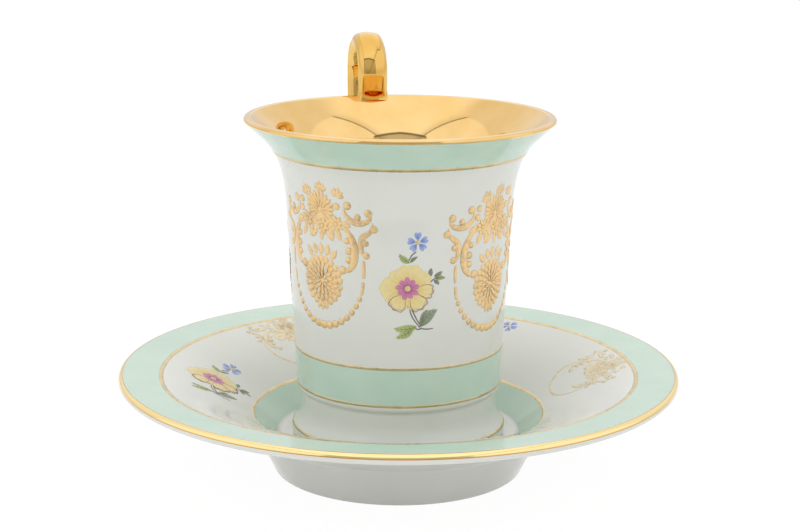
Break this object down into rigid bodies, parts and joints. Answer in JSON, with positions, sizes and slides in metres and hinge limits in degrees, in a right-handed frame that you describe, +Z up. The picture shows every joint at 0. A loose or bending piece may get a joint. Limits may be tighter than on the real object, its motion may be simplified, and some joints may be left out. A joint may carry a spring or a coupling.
{
  "type": "cup with saucer",
  "caption": "Porcelain cup with a trumpet lip, waisted foot and high loop handle, standing in the well of a deep footed saucer.",
  "frame": {"origin": "centre of the saucer's foot ring, where it stands on the table", "axes": "+Z up the axis of the cup and saucer, +Y towards the cup's handle, +X across the handle"},
  "size_m": [0.155, 0.155, 0.1164],
  "materials": {
    "porcelain": "clear glossy glaze over white porcelain",
    "gilding": "polished fired gold",
    "mint_enamel": "pale green ground under a glossy glaze",
    "flower_enamel": "fired overglaze enamel colours"
  },
  "bodies": {
    "root": {"cup": "porcelain", "saucer": "porcelain"}
  },
  "joints": []
}
